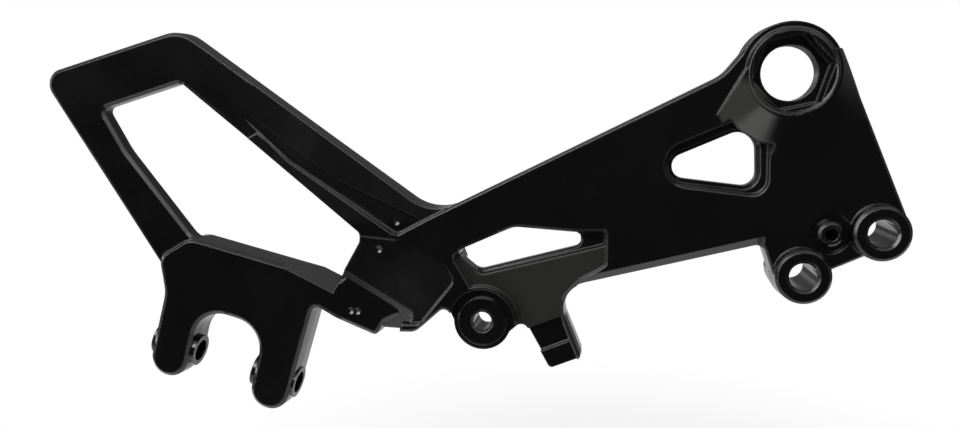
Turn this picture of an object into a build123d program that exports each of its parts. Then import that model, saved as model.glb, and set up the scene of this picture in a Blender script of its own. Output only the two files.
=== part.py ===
from build123d import *
import math
import os

# Die-cast footrest hanger of a motorcycle, one piece of aluminium, in millimetres.
# The origin is the centre of the pivot bore, at its inner end.
# X runs towards the frame bolts, Z is up, and the outer side of the hanger faces -Y.
# Every depth below is measured from the mounting faces towards the outer side.

# Fastener holes
pivot_bore = 18.0
pivot_hex_width = 22.0
pivot_hex_depth = 9.0
pivot_hex_angle = 12.0
frame_bolt_bore = 9.0
lever_bore = 6.6
tapped_core = 4.2
tapped_depth = 13.0
footpeg_pin_bore = 8.2
bore_chamfer = 0.8

# Places of the bosses, seen from the outer side
pivot = (0.0, 0.0)
upper_bolt = (28.8, -51.0)
lower_bolt = (5.4, -65.6)
tapped_point = (13.8, -51.8)
lever_point = (-100.8, -85.9)
clevis_point = (-201.0, -106.7)
tab_point = (-71.1, -99.5)

# Depths of the faces
boss_front = 25.0
pivot_back = 9.0
plate_front = 20.0
parting = 14.0
web_back = 11.5
plate_back = 6.0
triangle_seat = 17.2
pocket_floor = 17.4
beam_seat = 15.2
lever_seat = 17.0
lever_front = 17.9
lever_back = 4.0
tapped_front = 22.5
tapped_seat = 18.3
loop_front = 15.0
loop_back = 9.0
arm_front = 17.6
arm_back = 8.0
clevis_middle = 9.0
clevis_thickness = 14.0
groove_floor = 14.2

# Radii of the bosses
pivot_ring_radius = 14.6
pivot_wall_radius = 16.7
fairing_radius = 27.0
frame_boss_radius = 9.3
tapped_boss_radius = 4.4
tapped_seat_radius = 6.6
lever_boss_radius = 10.2
lever_land_radius = 8.6
lever_seat_radius = 11.7
lever_rim_radius = 12.9

# Footpeg clevis, square to its pin
clevis_tilt = 15.0
clevis_gap = 23.6
prong_width = 15.0
prong_boss_height = 1.4
prong_boss_radius = 6.0
prong_tip = 11.4
slot_depth = 18.6
slot_corner = 11.0

# Tab below the beam
tab_tilt = -22.5
tab_width = 12.4
tab_block = 6.8
tab_groove = 9.2
tab_rim = 1.9

# Sloping faces of the casting, in degrees from the flat of the plate
panel_top = (-132.0, -55.0)
panel_lean = (-9.7, -17.0)
panel_slope = 7.0
panel_length = 22.0
panel_step = 0.6
skirt_slope = 20.0
arm_run = (94.5, -66.5)
arm_slope = 2.0
rail_slope = 4.0
trough_depth = 2.5
branch_facet_slope = 78.0
fairing_step = 0.6

# Small round marks in the cast faces, each with the depth of its face
mark_radius = 1.2
mark_depth = 0.8
panel_mark = (-137.8, -61.1, 19.0)
trough_mark = (-132.2, -51.4, 15.1)
branch_mark = (-149.5, -84.3, 16.0)
branch_twin_mark = (-147.0, -84.4, 16.0)

# Cast walls and edges
draft = 2.5
wall = 4.0
rib = 3.5
plate_edge = 0.7
boss_edge = 0.9
loop_edge = 1.1
fork_edge = 1.2
lip = 0.7
window_lip = 1.4

# The block that every sloping cut takes away, larger than the part
cut_width = 400.0
cut_height = 60.0


def outline(*corners):
    """A flat face with rounded corners, each corner given as x, z and its radius."""
    points = [(x, z) for x, z, _ in corners]
    radii = [radius for _, _, radius in corners]
    return make_face(FilletPolyline(*points, radius=radii, close=True))


def beside(point, dx, dz, radius):
    """A corner of an outline that follows a boss."""
    return (point[0] + dx, point[1] + dz, radius)


def turned(point, tilt, across, up, radius):
    """A corner of an outline that follows a tilted feature, across it and up along it."""
    angle = math.radians(tilt)
    x = point[0] + across * math.cos(angle) + up * math.sin(angle)
    z = point[1] - across * math.sin(angle) + up * math.cos(angle)
    return (x, z, radius)


def clevis_corner(across, up, radius):
    return turned(clevis_point, clevis_tilt, across, up, radius)


def tab_corner(across, up, radius):
    return turned(tab_point, tab_tilt, across, up, radius)


def slab(face, back, front, taper=0.0):
    """A flat face given thickness between two depths, narrowing outwards by the taper."""
    return extrude(Plane.XZ.offset(back) * face, amount=front - back, taper=taper)


def both_ways(face, back, middle, front):
    """A slab that narrows to both faces from its parting line."""
    return slab(face, middle, front, draft) + slab(face, middle, back, draft)


def disc(point, radius, back, front, taper=0.0):
    """A round slab about a point."""
    return slab(Pos(*point) * Circle(radius), back, front, taper)


def round_boss(point, radius, back, front):
    """A round boss, narrowing both ways from the parting line, with a chamfered outer rim."""
    shoulder = front - boss_edge
    narrowed = radius - (shoulder - parting) * math.tan(math.radians(draft))
    solid = disc(point, radius, parting, back, draft) + disc(point, radius, parting, shoulder, draft)
    return solid + disc(point, narrowed, shoulder, front, 45)


def sink(face, floor, front):
    """What a pocket removes: straight down to its floor, with a lip that slopes back all round its mouth."""
    return slab(face, floor, front + 1) + slab(face, front - lip, front + 1, -45)


def soft_front(solid, width):
    """The solid with the edges of its outer face chamfered."""
    return chamfer(solid.faces().sort_by(Axis.Y)[0].edges(), width)


def above(point, depth, lean, slope):
    """Everything outside a sloping face through a point, which faces a little to one side."""
    tilt = math.radians(slope)
    share = math.sin(tilt) / math.hypot(*lean)
    normal = (lean[0] * share, -math.cos(tilt), lean[1] * share)
    face = Plane(origin=(point[0], -depth, point[1]), z_dir=normal)
    return face * Box(cut_width, cut_width, cut_height, align=(Align.CENTER, Align.CENTER, Align.MIN))


# Outlines seen from the outer side

def plate_outline():
    """The beam with its pivot end, frame bolt end, tab and lever boss side."""
    half_tab = tab_width / 2
    return outline(
        (-119.0, -48.7, 1.0),
        (-21.3, -0.4, 14.0),
        beside(pivot, -10.2, 13.2, 1.0),
        beside(pivot, 15.4, 6.7, 1.0),
        beside(upper_bolt, 8.6, 4.9, 2.5),
        beside(upper_bolt, 5.0, -4.0, 1.0),
        beside(upper_bolt, -4.0, -8.3, 1.0),
        beside(lower_bolt, 8.6, 1.2, 1.0),
        beside(lower_bolt, 0.0, -4.0, 1.0),
        beside(lower_bolt, -8.7, -1.0, 1.0),
        (-6.9, -56.2, 2.5),
        (-75.2, -73.6, 9.0),
        tab_corner(half_tab, 0, 1.6),
        tab_corner(-half_tab, 0, 1.6),
        (-86.3, -85.1, 2.4),
        beside(lever_point, 6.6, -6.4, 1.0),
        beside(lever_point, -8.0, -4.6, 1.0),
        (-113.6, -80.6, 2.2),
        (-124.6, -90.5, 6.0),
        (-138.0, -90.7, 1.0),
        (-150.0, -84.0, 1.0),
        (-156.7, -77.8, 1.0),
        (-145.2, -58.4, 1.5),
        (-144.8, -55.0, 1.5),
        (-132.0, -55.6, 1.0),
    )


def triangle_window():
    return outline((-48.5, -32.9, 4.2), (-9.9, -16.2, 6.0), (-9.0, -37.4, 4.5))


def beam_window():
    return outline(
        (-110.7, -61.2, 2.2), (-89.4, -51.7, 8.0), (-67.0, -53.2, 2.4),
        (-66.3, -58.1, 2.6), (-102.4, -67.9, 4.0),
    )


def loop_window():
    return outline(
        (-245.9, -11.0, 2.2), (-213.8, -1.5, 3.0), (-144.2, -55.6, 2.0),
        (-153.6, -73.4, 4.0), (-211.0, -59.0, 9.0), (-237.0, -26.5, 30.0),
    )


def loop_outline():
    """The loop, which runs on under the clevis and the beam."""
    return outline(
        (-271.0, 1.6, 6.0), (-212.8, 18.1, 14.0), (-118.3, -48.4, 17.0), (-104.0, -41.6, 2.0),
        (-112.0, -64.0, 2.0), (-126.0, -82.0, 2.0), (-163.0, -84.0, 3.0), (-219.9, -76.5, 5.0),
    )


def arm_outline():
    return outline(
        (-208.5, 14.5, 3.0), (-118.3, -48.4, 17.0), (-98.0, -38.6, 1.0), (-104.0, -58.0, 1.0),
        (-145.0, -56.2, 1.0), (-214.0, -1.6, 3.0),
    )


def rail_outline():
    """The low edge of the arm beside the loop's window."""
    return outline(
        (-184.0, -20.0, 0.3), (-149.5, -43.6, 1.0), (-128.0, -57.5, 1.0),
        (-145.0, -56.2, 1.0), (-188.0, -22.0, 0.3),
    )


def trough_outline():
    return outline(
        (-201.0, -3.6, 0.5), (-154.0, -36.4, 8.0), (-122.0, -50.5, 2.5),
        (-126.0, -56.2, 2.0), (-133.0, -55.0, 2.0), (-172.0, -30.0, 8.0),
    )


def clevis_outline():
    """Both prongs with the slot between them and the branch that carries them."""
    inner = clevis_gap / 2 + prong_boss_height
    outer = inner + prong_width
    tip_radius = prong_width / 2 - 0.2
    return outline(
        (-225.0, -66.0, 6.0),
        clevis_corner(-outer, 20.0, 12.0),
        clevis_corner(-outer, -prong_tip, tip_radius),
        clevis_corner(-inner, -prong_tip, tip_radius),
        clevis_corner(-inner, slot_depth, slot_corner),
        clevis_corner(inner, slot_depth, slot_corner),
        clevis_corner(inner, -prong_tip, tip_radius),
        clevis_corner(outer, -prong_tip, tip_radius),
        clevis_corner(outer + 1.4, 32.6, 2.4),
        (-156.0, -87.4, 12.0),
        (-140.2, -93.6, 2.2),
        (-137.0, -88.2, 2.2),
        (-128.0, -84.0, 2.2),
        (-141.0, -75.4, 2.2),
        (-150.6, -69.0, 2.2),
        (-153.6, -73.2, 2.2),
        (-212.0, -58.5, 8.0),
    )


def web_pocket_outline():
    """The sunken web under the beam window, which runs down into the tab."""
    rim = tab_width / 2 - tab_rim
    return outline(
        (-111.0, -62.6, 1.0), (-89.4, -54.0, 1.0), (-58.0, -52.6, 1.0), (-58.0, -64.6, 1.5),
        (-66.5, -69.4, 3.0), (-72.6, -76.0, 4.0), tab_corner(rim, 14.0, 2.0),
        tab_corner(rim, -3.0, 0.5), tab_corner(-12.0, -3.0, 0.5), (-90.0, -95.0, 1.0),
        (-102.0, -78.0, 1.0), (-104.6, -73.4, 1.0),
    )


def tab_groove_outline():
    rim = tab_width / 2 - tab_rim
    far = tab_block + tab_groove
    return outline(
        tab_corner(rim, tab_block, 0.8), tab_corner(rim, far, 0.8),
        tab_corner(-9.0, far, 0.5), tab_corner(-9.0, tab_block, 0.5),
    )


def panel_outline():
    """The sloping panel where the arm, the branch and the beam meet."""
    return outline(
        (-149.5, -43.6, 0.5), (-115.0, -64.7, 1.0), (-110.6, -71.4, 3.5), (-123.2, -87.2, 3.0),
        (-130.0, -87.4, 0.5), (-131.0, -95.0, 0.5), (-165.0, -95.0, 0.5), (-160.0, -50.0, 0.5),
    )


def skirt_outline():
    """The part of the panel below its ridge."""
    return outline(
        (-170.0, -58.3, 0.5), (-122.0, -86.1, 2.0), (-130.0, -87.4, 0.5),
        (-131.0, -95.0, 0.5), (-165.0, -95.0, 0.5),
    )


def triangle_seat_outline():
    return outline((-59.9, -33.9, 7.4), (-6.2, -10.7, 9.5), (-6.0, -40.1, 5.0))


def beam_seat_outline():
    return outline(
        (-103.0, -69.3, 3.0), (-58.2, -57.5, 1.2), (-58.4, -52.7, 1.6),
        (-70.0, -54.6, 1.0), (-104.0, -63.0, 1.0),
    )


def lever_rim_outline():
    """Where the thin rim of the lever seat stands, between the seat and the web."""
    return outline(
        (-112.0, -70.0, 0), (-86.0, -70.0, 0), (-86.0, -85.0, 0),
        (-98.0, -85.0, 0), (-112.0, -78.0, 0),
    )


def fairing_outline():
    """Where the fairing of the pivot boss shows, on the side of the windows and the bolts."""
    return outline(
        (-14.2, 1.5, 0.5), (-26.0, -19.0, 0.5), (-10.0, -32.0, 0.5),
        (30.0, -30.0, 0.5), (14.0, 7.5, 0.5),
    )


# Solids

def main_plate():
    """The plate with its raised faces, before its bosses and windows."""
    plate = soft_front(both_ways(plate_outline(), plate_back, parting, plate_front), plate_edge)
    plate -= sink(web_pocket_outline(), pocket_floor, plate_front)
    plate -= slab(tab_groove_outline(), groove_floor, boss_front)
    panel = sink(panel_outline(), plate_back, plate_front)
    plate -= panel & above(panel_top, plate_front, panel_lean, panel_slope)
    share = panel_length / math.hypot(*panel_lean)
    ridge = (panel_top[0] + panel_lean[0] * share, panel_top[1] + panel_lean[1] * share)
    drop = panel_length * math.tan(math.radians(panel_slope)) + panel_step
    skirt = slab(skirt_outline(), plate_back, boss_front)
    plate -= skirt & above(ridge, plate_front - drop, panel_lean, skirt_slope)
    return plate


def lower_bevel():
    """What is cut from the beam's lower edge, along its straight and round the inner corner to the tab."""
    band = outline((-72.0, -60.0, 0), (-6.5, -44.0, 0), (-6.5, -58.0, 0), (-66.0, -76.0, 0))
    return slab(band, plate_back, boss_front) & above((-37.9, -61.2), plate_front, (0.25, -0.97), 45)


def loop():
    """The thin upper loop."""
    ring = slab(loop_outline(), loop_back, loop_front, draft) - slab(loop_window(), 0, boss_front)
    return soft_front(ring, loop_edge)


def arm():
    """The arm of the loop beside the beam: a face that slopes up to the plate, a rail and a trough."""
    back_along = (-arm_run[0], -arm_run[1])
    solid = slab(arm_outline(), arm_back, plate_front, draft)
    solid -= above((-125.0, -48.0), arm_front, back_along, arm_slope)
    rail = slab(rail_outline(), arm_back, plate_front)
    rail -= above(panel_top, plate_front, back_along, rail_slope)
    return solid + rail - slab(trough_outline(), arm_front - trough_depth, boss_front)


def clevis():
    """The two prongs and the branch that carries them."""
    half = clevis_thickness / 2
    solid = both_ways(clevis_outline(), clevis_middle - half, clevis_middle, clevis_middle + half)
    return soft_front(solid, fork_edge)


def branch_facet():
    """What is cut from the upper wall of the branch, where it runs down to the panel."""
    band = outline((-176.0, -60.0, 0), (-140.0, -60.0, 0), (-140.0, -82.0, 0), (-176.0, -82.0, 0))
    beside_plate = slab(band - offset(plate_outline(), -0.35), 0, boss_front)
    front = clevis_middle + clevis_thickness / 2
    return beside_plate & above((-156.2, -77.9), front, (5.5, 11.6), branch_facet_slope)


def pin_cylinder(radius, start, end):
    """A cylinder along the footpeg pin, from one distance across the clevis to another."""
    x, z, _ = clevis_corner(start, 0, 0)
    far_x, far_z, _ = clevis_corner(end, 0, 0)
    axis = Plane(origin=(x, -clevis_middle, z), z_dir=(far_x - x, 0, far_z - z))
    return axis * Cylinder(radius, end - start, align=(Align.CENTER, Align.CENTER, Align.MIN))


def prong_bosses():
    inner = clevis_gap / 2
    outer = inner + prong_boss_height + prong_width
    proud = prong_boss_height - 0.4
    bosses = pin_cylinder(prong_boss_radius, inner, outer + proud)
    return bosses + pin_cylinder(prong_boss_radius, -outer - proud, -inner)


def fairing():
    """The cone that runs from the plate up to the pivot boss."""
    height = boss_front - plate_front - fairing_step
    cone = Plane.XZ.offset(plate_front + height / 2) * Cone(fairing_radius, pivot_ring_radius, height)
    shown = slab(fairing_outline(), plate_front, boss_front)
    return cone & shown & slab(plate_outline(), plate_front, boss_front)


def back_pockets():
    """The hollow of the plate's back, inside its wall and round its bosses and ribs."""
    inside = offset(plate_outline(), -wall)
    inside -= Pos(*pivot) * Circle(pivot_wall_radius)
    for point in (upper_bolt, lower_bolt):
        inside -= Pos(*point) * Circle(frame_boss_radius + 0.5)
    inside -= Pos(*tapped_point) * Circle(tapped_boss_radius + 1.5)
    inside -= Pos(*lever_point) * Circle(lever_rim_radius)
    inside -= outline((-170, -40, 0), (-118, -40, 0), (-108, -64, 0), (-112, -100, 0), (-170, -100, 0))
    inside -= rib_between(pivot, lower_bolt)
    inside -= rib_between(pivot, upper_bolt)
    inside -= rib_between((-58.0, -20.0), (-54.0, -70.0))
    pivot_end = disc(pivot, pivot_wall_radius + 0.6, plate_back - 1, pivot_back)
    return slab(inside, plate_back - 1, web_back) + pivot_end


def rib_between(start, end):
    middle = ((start[0] + end[0]) / 2, (start[1] + end[1]) / 2)
    angle = math.degrees(math.atan2(end[1] - start[1], end[0] - start[0]))
    return Pos(*middle) * Rot(0, 0, angle) * Rectangle(math.dist(start, end), rib)


def through(point, radius, mouth):
    """A through hole with a chamfered mouth."""
    chamfered = disc(point, radius, mouth - bore_chamfer, mouth + bore_chamfer, -45)
    return disc(point, radius, -1, boss_front + 1) + chamfered


def casting_mark(x, z, depth):
    """A shallow cone that is pressed into a face."""
    return Plane.XZ.offset(depth) * Pos(x, z, 0) * Cone(0, 2 * mark_radius, 2 * mark_depth)


def hanger():
    body = main_plate() - lower_bevel() - back_pockets()
    body += arm() + (loop() + clevis() - branch_facet()) + prong_bosses()
    body += disc(pivot, pivot_wall_radius, pivot_back, plate_front, draft)
    body += fairing()
    body -= sink(triangle_seat_outline(), triangle_seat, plate_front)
    body -= sink(beam_seat_outline(), beam_seat, pocket_floor)
    rim = disc(lever_point, lever_rim_radius, lever_back, plate_front)
    body += rim & slab(lever_rim_outline(), lever_back, plate_front)
    body -= disc(lever_point, lever_seat_radius, lever_seat, boss_front)
    body -= disc(tapped_point, tapped_seat_radius, tapped_seat, boss_front)
    body += round_boss(pivot, pivot_ring_radius, pivot_back, boss_front)
    for point in (upper_bolt, lower_bolt):
        body += round_boss(point, frame_boss_radius, 0, boss_front)
    body += disc(lever_point, lever_boss_radius, lever_back, lever_seat)
    body += disc(lever_point, lever_land_radius, lever_seat, lever_front, draft)
    body += round_boss(tapped_point, tapped_boss_radius, plate_back, tapped_front)
    for window in (triangle_window(), beam_window(), loop_window()):
        body -= slab(window, -1, boss_front + 1)
    body -= slab(triangle_window(), triangle_seat - window_lip, triangle_seat, -45)
    body -= slab(beam_window(), plate_front - lip, plate_front + 1, -45)
    body -= slab(beam_window(), beam_seat - lip, beam_seat, -45) & slab(beam_seat_outline(), 0, boss_front)
    body -= disc(pivot, pivot_bore / 2, -1, boss_front + 1)
    hexagon = Rot(0, 0, pivot_hex_angle) * RegularPolygon(pivot_hex_width / 2, 6, major_radius=False)
    body -= slab(hexagon, boss_front - pivot_hex_depth, boss_front + 1)
    body -= disc(pivot, pivot_hex_width / math.sqrt(3), boss_front - bore_chamfer, boss_front + 1, -45)
    for point in (upper_bolt, lower_bolt):
        body -= through(point, frame_bolt_bore / 2, boss_front)
    body -= through(lever_point, lever_bore / 2, lever_front)
    body -= disc(tapped_point, tapped_core / 2, tapped_front - tapped_depth, boss_front)
    for mark in (panel_mark, trough_mark, branch_mark, branch_twin_mark):
        body -= casting_mark(*mark)
    reach = clevis_gap / 2 + prong_width + 2 * prong_boss_height
    body -= pin_cylinder(footpeg_pin_bore / 2, -reach, reach)
    return Pos(0, pivot_back, 0) * body


os.makedirs("parts", exist_ok=True)
export_step(hanger(), "parts/footrest_hanger.step")
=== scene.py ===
import bpy
import math
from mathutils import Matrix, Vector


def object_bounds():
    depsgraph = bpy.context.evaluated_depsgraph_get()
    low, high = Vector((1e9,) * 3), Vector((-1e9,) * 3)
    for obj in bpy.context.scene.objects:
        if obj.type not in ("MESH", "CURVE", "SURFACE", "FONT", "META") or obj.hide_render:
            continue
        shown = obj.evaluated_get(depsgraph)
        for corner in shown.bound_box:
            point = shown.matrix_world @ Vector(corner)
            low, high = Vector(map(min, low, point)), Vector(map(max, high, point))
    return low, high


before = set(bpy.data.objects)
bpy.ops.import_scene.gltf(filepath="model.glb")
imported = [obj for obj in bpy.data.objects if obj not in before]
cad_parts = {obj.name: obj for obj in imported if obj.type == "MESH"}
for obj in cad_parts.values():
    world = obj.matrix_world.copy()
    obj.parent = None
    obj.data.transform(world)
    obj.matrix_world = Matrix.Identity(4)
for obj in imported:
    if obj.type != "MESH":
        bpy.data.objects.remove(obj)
cad_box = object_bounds()

# The photograph's camera: where it stands in the row frame, in metres, how it is turned, and its lens and
# sensor in millimetres
CAMERA_PLACE = (-0.0533, -0.2990, -0.0152)
CAMERA_DOWN = math.radians(6.31)
CAMERA_LEFT = math.radians(9.43)
CAMERA_LENS = 31.875
SENSOR_WIDTH = 36.0

# The floor lies well below the part, which hangs from its pivot, and begins in front of it at FLOOR_FRONT
FLOOR_DROP = 0.12
FLOOR_SIZE = 1.2
FLOOR_FRONT = -0.12
FLOOR_COLOUR = (0.65, 0.65, 0.65, 1.0)

# How white the camera sees the floor, at the first and the second distance from a point of it
FADE_POINT = (-0.05, -0.28, 0.0)
FADE_DISTANCES = (0.08, 0.32)
FADE_WHITENESS = (0.8, 1.0)
WHITE = (1.0, 1.0, 1.0, 1.0)

# The soft lamp, in metres and watts
LAMP_PLACE = (-0.35, -0.80, 0.55)
LAMP_AIM = (-0.1, 0.0, -0.05)
LAMP_SIZE = (1.0, 0.4)
LAMP_POWER = 5.0

# The studio's light by direction: across is x, along is y and up is z, each from -1 to 1. A pair of
# directions runs from where a light begins to where it is full, and LEVELS and SHARES are its values at
# the two ends.
DIM_LEVEL = 0.09
FRONT_ALONG = (-0.45, -0.68)
FRONT_ACROSS = (0.35, -0.6)
FRONT_LEVELS = (0.032, 0.026)
BEHIND_ALONG = (0.3, 0.7)
BAND_BOTTOM = (-0.02, 0.06)
BAND_TOP = (0.24, 0.10)
BAND_LEVELS = (0.0, 0.16)
RING_ALONG = (-0.20, -0.40)
RING_TOP = (0.92, 0.72)
RING_RISE = (-0.4, 0.1)
RING_LEVELS = (0.1, 6.5)
RING_ACROSS = (0.55, 0.15)
RING_SHARES = (0.15, 1.0)
CARD_UP = (-0.42, -0.50)
CARD_LEVELS = (0.0, 1.1)
CARD_RIGHT = (0.02, -0.15)
CARD_LEFT = (-0.60, -0.42)
TOP_UP = (0.5, 0.85)
TOP_LEVELS = (0.0, 0.4)

# The paint: its tints and roughness, the rounding of its edges in metres, and the scales of its noises
PAINT_DARK = (0.0019, 0.0017, 0.0016, 1.0)
PAINT_LIGHT = (0.0031, 0.0028, 0.0027, 1.0)
PAINT_ROUGHNESS = (0.14, 0.22)
COAT_ROUGHNESS = 0.06
PAINT_IOR = 1.5
EDGE_ROUNDING = 0.0009
GRAIN_SCALE = 420.0
PEEL_SCALE = 70.0
PEEL_SHARE = 3.0
UNEVEN_SCALE = 45.0
UNEVEN_RANGE = (0.3, 0.7)
RELIEF_STRENGTH = 0.12
RELIEF_DEPTH = 0.0002

NODE = "footrest_hanger"

# Where the paint is duller, with a lighter tint painted on as sheen in place of reflections, a guess from
# the photograph's tones: the ranges in x, y and z, in metres, how wide each fades, how much rougher the
# paint is there and its painted-sheen tint
DULL_AND_SHEEN_PLACES = (
    # the sunken seat of the long window, rougher, with a painted sheen
    (
        ((-0.1160, -0.0555), (-0.0088, -0.0080), (-0.0885, -0.0560)), (0.0002, 0.0002, 0.0002),
        0.25, (0.0112, 0.0109, 0.0094, 1.0),
    ),
    # the arm's rail and trough, rougher, with a painted sheen
    (
        ((-0.2100, -0.0850), (-0.0104, 0.0200), (-0.0530, 0.0100)), (0.0450, 0.0003, 0.0030),
        0.07, (0.0040, 0.0041, 0.0039, 1.0),
    ),
    # the left flank of the pivot boss, rougher, with a painted highlight
    (
        ((-0.0320, -0.0040), (-0.0160, -0.0111), (-0.0240, 0.0000)), (0.0080, 0.0004, 0.0050),
        0.25, (0.0215, 0.0222, 0.0180, 1.0),
    ),
)


def node_graph(owner):
    """An empty node tree for a material or world, and short calls that add and join its nodes."""
    owner.use_nodes = True
    tree = owner.node_tree
    tree.nodes.clear()

    def add(kind, **inputs):
        node = tree.nodes.new(kind)
        for name, value in inputs.items():
            node.inputs[name.replace("_", " ")].default_value = value
        return node

    def join(source, target):
        tree.links.new(source, target)

    return add, join


def math_node(add, join, operation, first, second=None, third=None):
    """One Math node; each operand is a number or another node's output."""
    node = add("ShaderNodeMath")
    node.operation = operation
    for index, operand in enumerate((first, second, third)):
        if operand is None:
            continue
        if isinstance(operand, (int, float)):
            node.inputs[index].default_value = operand
        else:
            join(operand, node.inputs[index])
    return node.outputs[0]


def map_range(add, join, value, low, high, to_low=0.0, to_high=1.0):
    """A value carried smoothly from one range to another."""
    node = add("ShaderNodeMapRange")
    node.interpolation_type = "SMOOTHSTEP"
    join(value, node.inputs["Value"])
    node.inputs["From Min"].default_value = low
    node.inputs["From Max"].default_value = high
    node.inputs["To Min"].default_value = to_low
    node.inputs["To Max"].default_value = to_high
    return node.outputs["Result"]


# Paint

def box_mask(add, join, split, ranges, softness):
    """1 inside a box of the part's frame, fading to 0 at its sides."""
    mask = None
    for axis, (low, high), soft in zip("XYZ", ranges, softness):
        for edge, inner in ((low, low + soft), (high, high - soft)):
            inside = map_range(add, join, split.outputs[axis], edge, inner)
            mask = inside if mask is None else math_node(add, join, "MULTIPLY", mask, inside)
    return mask


def gloss_black_paint():
    """Gloss black paint over a cast skin: a slow orange peel, a finer grain and a little uneven gloss,
    with a painted sheen in a few places.
    """
    paint = bpy.data.materials.new("gloss_black_paint")
    add, join = node_graph(paint)
    shader = add(
        "ShaderNodeBsdfPrincipled", IOR=PAINT_IOR, Metallic=0.0,
        Coat_Weight=1.0, Coat_Roughness=COAT_ROUGHNESS, Coat_IOR=PAINT_IOR,
    )
    place = add("ShaderNodeTexCoord")

    grain = add("ShaderNodeTexNoise", Scale=GRAIN_SCALE, Detail=2.0, Roughness=0.5)
    join(place.outputs["Object"], grain.inputs["Vector"])
    peel = add("ShaderNodeTexNoise", Scale=PEEL_SCALE, Detail=1.0, Roughness=0.4)
    join(place.outputs["Object"], peel.inputs["Vector"])
    height = math_node(add, join, "MULTIPLY_ADD", peel.outputs["Fac"], PEEL_SHARE, grain.outputs["Fac"])

    rounding = add("ShaderNodeBevel", Radius=EDGE_ROUNDING)
    rounding.samples = 8
    bump = add("ShaderNodeBump", Strength=RELIEF_STRENGTH, Distance=RELIEF_DEPTH)
    join(height, bump.inputs["Height"])
    join(rounding.outputs["Normal"], bump.inputs["Normal"])
    join(bump.outputs["Normal"], shader.inputs["Normal"])

    uneven = add("ShaderNodeTexNoise", Scale=UNEVEN_SCALE, Detail=4.0, Roughness=0.6)
    join(place.outputs["Object"], uneven.inputs["Vector"])
    roughness = map_range(add, join, uneven.outputs["Fac"], *UNEVEN_RANGE, *PAINT_ROUGHNESS)
    tint = add("ShaderNodeMixRGB")
    tint.inputs["Color1"].default_value = PAINT_DARK
    tint.inputs["Color2"].default_value = PAINT_LIGHT
    join(uneven.outputs["Fac"], tint.inputs["Fac"])
    colour = tint.outputs["Color"]

    split = add("ShaderNodeSeparateXYZ")
    join(place.outputs["Object"], split.inputs["Vector"])
    # In each listed place the paint is rougher and gets a lighter tint, a painted sheen
    for ranges, softness, rougher, painted_sheen_tint in DULL_AND_SHEEN_PLACES:
        dull_and_sheen = box_mask(add, join, split, ranges, softness)
        roughness = math_node(add, join, "MULTIPLY_ADD", dull_and_sheen, rougher, roughness)
        blend = add("ShaderNodeMixRGB")
        blend.inputs["Color2"].default_value = painted_sheen_tint
        join(dull_and_sheen, blend.inputs["Fac"])
        join(colour, blend.inputs["Color1"])
        colour = blend.outputs["Color"]
    join(roughness, shader.inputs["Roughness"])
    join(colour, shader.inputs["Base Color"])

    output = add("ShaderNodeOutputMaterial")
    join(shader.outputs["BSDF"], output.inputs["Surface"])
    return paint


# Studio

def is_seen(add, join):
    """1 for the camera's own rays, and 0 for light and reflections."""
    return add("ShaderNodeLightPath").outputs["Is Camera Ray"]


def studio_world():
    """
    Light by direction, fitted to the photograph's reflections: dim all round, dark straight in front, a
    bright ring above and beside the front, a low band behind, a pale card low on the left and a soft top.
    The camera's own rays see white.
    """
    world = bpy.data.worlds.new("studio")
    bpy.context.scene.world = world
    add, join = node_graph(world)
    place = add("ShaderNodeTexCoord")
    split = add("ShaderNodeSeparateXYZ")
    join(place.outputs["Generated"], split.inputs["Vector"])
    across, along, up = (split.outputs[axis] for axis in "XYZ")

    front = map_range(add, join, along, *FRONT_ALONG)
    front_level = map_range(add, join, across, *FRONT_ACROSS, *FRONT_LEVELS)
    behind = map_range(add, join, along, *BEHIND_ALONG)
    band = math_node(
        add, join, "MULTIPLY",
        map_range(add, join, up, *BAND_BOTTOM, *BAND_LEVELS),
        map_range(add, join, up, *BAND_TOP),
    )
    back_level = math_node(add, join, "MULTIPLY_ADD", behind, band, DIM_LEVEL)
    ring = math_node(
        add, join, "MULTIPLY",
        map_range(add, join, along, *RING_ALONG),
        map_range(add, join, up, *RING_TOP),
    )
    raised = map_range(add, join, up, *RING_RISE, *RING_LEVELS)
    leftward = map_range(add, join, across, *RING_ACROSS, *RING_SHARES)
    ring_level = math_node(add, join, "MULTIPLY", raised, leftward)
    round_level = math_node(add, join, "MULTIPLY_ADD", ring, ring_level, back_level)
    step = math_node(add, join, "SUBTRACT", front_level, round_level)
    near_level = math_node(add, join, "MULTIPLY_ADD", front, step, round_level)
    card = math_node(
        add, join, "MULTIPLY",
        map_range(add, join, up, *CARD_UP, *CARD_LEVELS),
        math_node(
            add, join, "MULTIPLY",
            map_range(add, join, across, *CARD_RIGHT),
            map_range(add, join, across, *CARD_LEFT),
        ),
    )
    card_level = math_node(add, join, "MAXIMUM", near_level, card)
    top = map_range(add, join, up, *TOP_UP, *TOP_LEVELS)
    level = math_node(add, join, "MAXIMUM", card_level, top)

    light = add("ShaderNodeBackground")
    join(level, light.inputs["Strength"])
    white = add("ShaderNodeBackground", Strength=1.0)
    for background in (light, white):
        background.inputs["Color"].default_value = WHITE
    mix = add("ShaderNodeMixShader")
    join(is_seen(add, join), mix.inputs["Fac"])
    join(light.outputs["Background"], mix.inputs[1])
    join(white.outputs["Background"], mix.inputs[2])
    output = add("ShaderNodeOutputWorld")
    join(mix.outputs["Shader"], output.inputs["Surface"])


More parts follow.
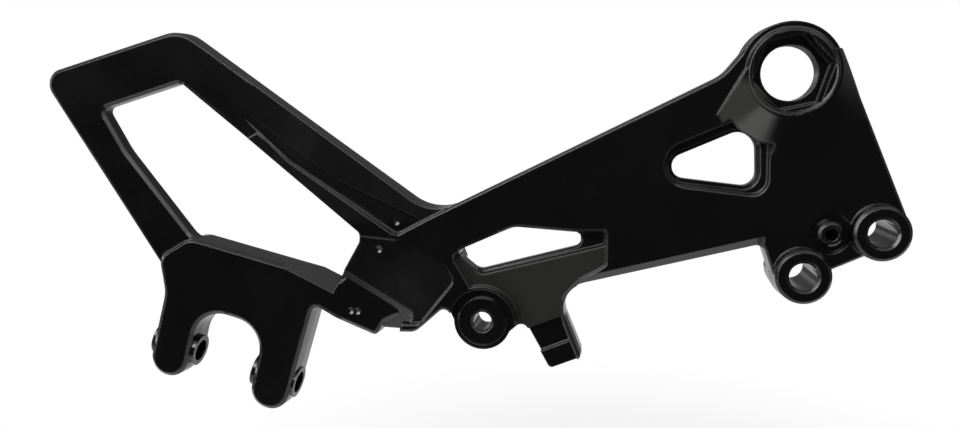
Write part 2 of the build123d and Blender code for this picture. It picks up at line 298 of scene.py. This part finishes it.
def floor():
    """
    A plain pale floor. The camera sees it four fifths white below the part, where the shadow falls, and
    wholly white farther off.
    """
    low = cad_box[0][2] - FLOOR_DROP
    middle = FLOOR_FRONT + FLOOR_SIZE / 2
    bpy.ops.mesh.primitive_plane_add(size=FLOOR_SIZE, location=(0.0, middle, low))
    plane = bpy.context.object
    plane.name = "floor"
    material = bpy.data.materials.new("pale_floor")
    add, join = node_graph(material)
    matt = add("ShaderNodeBsdfDiffuse")
    matt.inputs["Color"].default_value = FLOOR_COLOUR
    glow = add("ShaderNodeEmission", Strength=1.0)
    glow.inputs["Color"].default_value = WHITE
    mix = add("ShaderNodeMixShader")
    place = add("ShaderNodeTexCoord")
    reach = add("ShaderNodeVectorMath")
    reach.operation = "DISTANCE"
    join(place.outputs["Object"], reach.inputs[0])
    reach.inputs[1].default_value = FADE_POINT
    plain = map_range(add, join, reach.outputs["Value"], *FADE_DISTANCES, *FADE_WHITENESS)
    seen = math_node(add, join, "MULTIPLY", is_seen(add, join), plain)
    join(seen, mix.inputs["Fac"])
    join(matt.outputs["BSDF"], mix.inputs[1])
    join(glow.outputs["Emission"], mix.inputs[2])
    output = add("ShaderNodeOutputMaterial")
    join(mix.outputs["Shader"], output.inputs["Surface"])
    plane.data.materials.append(material)


def soft_lamp(name, place, aim, size, power):
    """A soft box, wide by high, that faces a point."""
    data = bpy.data.lights.new(name, "AREA")
    data.shape = "RECTANGLE"
    data.size, data.size_y = size
    data.energy = power
    lamp = bpy.data.objects.new(name, data)
    bpy.context.scene.collection.objects.link(lamp)
    lamp.location = place
    way = [a - p for a, p in zip(aim, place)]
    across = math.hypot(way[0], way[1])
    lamp.rotation_euler = (math.atan2(across, -way[2]), 0.0, math.atan2(way[1], way[0]) - math.pi / 2)


def camera():
    """The camera at the photograph's place."""
    data = bpy.data.cameras.new("photo_camera")
    data.sensor_width = SENSOR_WIDTH
    data.lens = CAMERA_LENS
    data.clip_start = 0.01
    view = bpy.data.objects.new("photo_camera", data)
    bpy.context.scene.collection.objects.link(view)
    view.location = CAMERA_PLACE
    view.rotation_euler = (math.pi / 2 - CAMERA_DOWN, 0.0, CAMERA_LEFT)
    bpy.context.scene.camera = view


camera()
studio_world()
floor()
soft_lamp("key_lamp", LAMP_PLACE, LAMP_AIM, LAMP_SIZE, LAMP_POWER)

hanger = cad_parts[NODE]
hanger.data.materials.clear()
hanger.data.materials.append(gloss_black_paint())

bpy.context.scene.view_settings.view_transform = "Standard"
